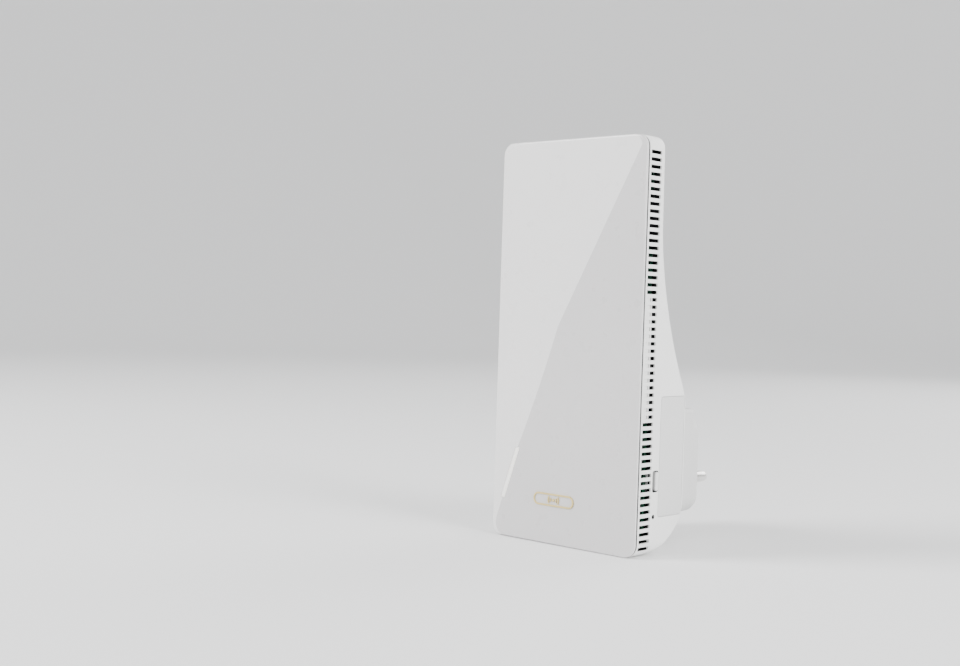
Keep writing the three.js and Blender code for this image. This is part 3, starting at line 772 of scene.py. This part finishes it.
def make_button():
    centre = middle(BUTTON_LOW, BUTTON_HIGH)
    outer = BUTTON_HIGH.x
    inner = BUTTON_LOW.x
    rings = [(0.0, inner)]
    rings += [(i, outer - below) for i, below in edge_steps(0.45, 6)]
    loops = []
    for inset, x in rings:
        end_r = BUTTON_W / 2
        outline = rounded_rect(BUTTON_W, BUTTON_HALF_H, -BUTTON_HALF_H, end_r, end_r, 10, inset)
        loops.append([(x, centre.y + BUTTON_SHIFT + y, centre.z + z) for y, z in outline])
    button = loft("button_cap", loops, 40)
    settle(button, BUTTON_WHITE, "pairing_button", "button_plastic", "pairing_button")


def make_label():
    centre = middle(LABEL_LOW, LABEL_HIGH)
    w = LABEL_HIGH.y - LABEL_LOW.y
    h = (LABEL_HIGH.z - LABEL_LOW.z) / 2
    outer = LABEL_HIGH.x
    edge = ((0.0, LABEL_LOW.x), (0.0, outer - 0.08), (0.03, outer - 0.02), (0.1, outer))
    loops = []
    for inset, x in edge:
        outline = rounded_rect(w, h, -h, 1.2, 1.2, 8, inset)
        loops.append([(x, centre.y + y, centre.z + z) for y, z in outline])
    label = loft("side_label", loops, 40)
    settle(label, LABEL_FILM, "body", "label_film", "rating_label")


def make_jack():
    centre = middle(JACK_LOW, JACK_HIGH)
    w, h = JACK_HIGH.z - JACK_LOW.z, JACK_HIGH.y - JACK_LOW.y
    face = JACK_LOW.x
    loops = []
    for inset, x in [(0.0, JACK_HIGH.x)] + [(i, face + below) for i, below in edge_steps(0.4, 4)]:
        outline = rounded_rect(h, w / 2, -w / 2, 0.5, 0.5, 4, inset)
        loops.append([(x, centre.y + y, centre.z + z) for y, z in outline])
    jack = loft("jack_shell", loops, 40)

    def socket(bm):
        y, z = SOCKET_H / 2, SOCKET_W / 2
        box_into(bm, face - 2, face + SOCKET_DEPTH, centre.y - y, centre.y + y, centre.z - z, centre.z + z)

    def latch_slot(bm):
        z = LATCH_W / 2
        box_into(bm, face - 2, face + SOCKET_DEPTH, centre.y, centre.y + LATCH_H, centre.z - z, centre.z + z)

    cut_away(jack, "socket", socket, 40)
    cut_away(jack, "latch_slot", latch_slot, 40)
    settle(jack, BLACK, "body", "jack_plastic", "ethernet_jack")


# ---------- stage, light and camera ----------

def plain_material(name, colour, roughness):
    material, shader = new_material(name, colour, roughness)
    vary_roughness(material, shader, noise(material, 3.0), roughness - 0.05, roughness + 0.05)
    return material


def make_stage():
    """A pale floor that curves up all round into its own backdrop."""
    floor_z = CAD_LOW.z - 0.0002
    flat, sweep, sides = 1.7, 1.1, 72
    profile = [(0.4, 0.0), (1.0, 0.0), (flat, 0.0)]
    profile += [(flat + sweep * math.sin(a), sweep * (1 - math.cos(a)))
                for a in (math.pi / 2 * i / 16 for i in range(1, 17))]
    profile.append((flat + sweep, sweep + 0.9))
    bm = bmesh.new()
    centre = bm.verts.new((0, 0, floor_z))
    loops = []
    for radius, height in profile:
        turns = [2 * math.pi * i / sides for i in range(sides)]
        z = floor_z + height
        loops.append([bm.verts.new((radius * math.cos(a), radius * math.sin(a), z)) for a in turns])
    for i in range(sides):
        j = (i + 1) % sides
        bm.faces.new((centre, loops[0][i], loops[0][j]))
        for low, high in zip(loops, loops[1:]):
            bm.faces.new((low[i], high[i], high[j], low[j]))
    mesh = bpy.data.meshes.new("floor")
    bm.to_mesh(mesh)
    bm.free()
    mesh.shade_smooth()
    floor = bpy.data.objects.new("floor", mesh)
    bpy.context.scene.collection.objects.link(floor)
    mesh.materials.append(plain_material("pale_floor", (0.88, 0.88, 0.88), 0.75))


def area_light(name, place, target, size, power):
    light = bpy.data.lights.new(name, "AREA")
    light.shape = "RECTANGLE"
    light.size, light.size_y = size
    light.energy = power
    lamp = bpy.data.objects.new(name, light)
    lamp.location = place
    lamp.rotation_euler = (Vector(target) - Vector(place)).to_track_quat("-Z", "Y").to_euler()
    bpy.context.scene.collection.objects.link(lamp)


def make_lights():
    target = ORIGIN
    area_light("key", (-0.75, -1.05, 0.85), target, (0.6, 0.6), 30)
    area_light("side_fill", (1.35, -0.15, 0.6), target, (0.6, 0.8), 26)
    area_light("back_fill", (0.1, 1.3, 0.8), target, (1.0, 0.8), 12)
    world = bpy.data.worlds.new("studio")
    world.use_nodes = True
    background = world.node_tree.nodes["Background"]
    background.inputs["Color"].default_value = (0.86, 0.87, 0.88, 1)
    background.inputs["Strength"].default_value = 0.9
    bpy.context.scene.world = world


def make_camera():
    """Eye level a little above mid-height, to the right of the front, turned slightly clockwise."""
    place = ORIGIN + Vector((336.3, -408.8, 14.3)) * MM
    azimuth, pitch, roll = (math.radians(v) for v in (43.1, 1.25, 1.8))
    level_reach = math.cos(pitch)
    ahead = Vector((-math.sin(azimuth) * level_reach, math.cos(azimuth) * level_reach, -math.sin(pitch)))
    level = ahead.cross(Vector((0, 0, 1))).normalized()
    upright = level.cross(ahead)
    right = math.cos(roll) * level + math.sin(roll) * upright
    up = -math.sin(roll) * level + math.cos(roll) * upright
    data = bpy.data.cameras.new("camera")
    data.sensor_width = 36
    data.lens = 50.5
    camera = bpy.data.objects.new("camera", data)
    turn = Matrix((right, up, -ahead)).transposed().to_4x4()
    camera.matrix_world = Matrix.Translation(place) @ turn
    bpy.context.scene.collection.objects.link(camera)
    bpy.context.scene.camera = camera


make_camera()
make_stage()
make_lights()
paint_carried_nodes()
make_housing()
make_cover()
make_seam_shadow_strip()
make_light_bar()
make_emblem()
make_plug()
make_pins()
make_button()
make_label()
make_jack()
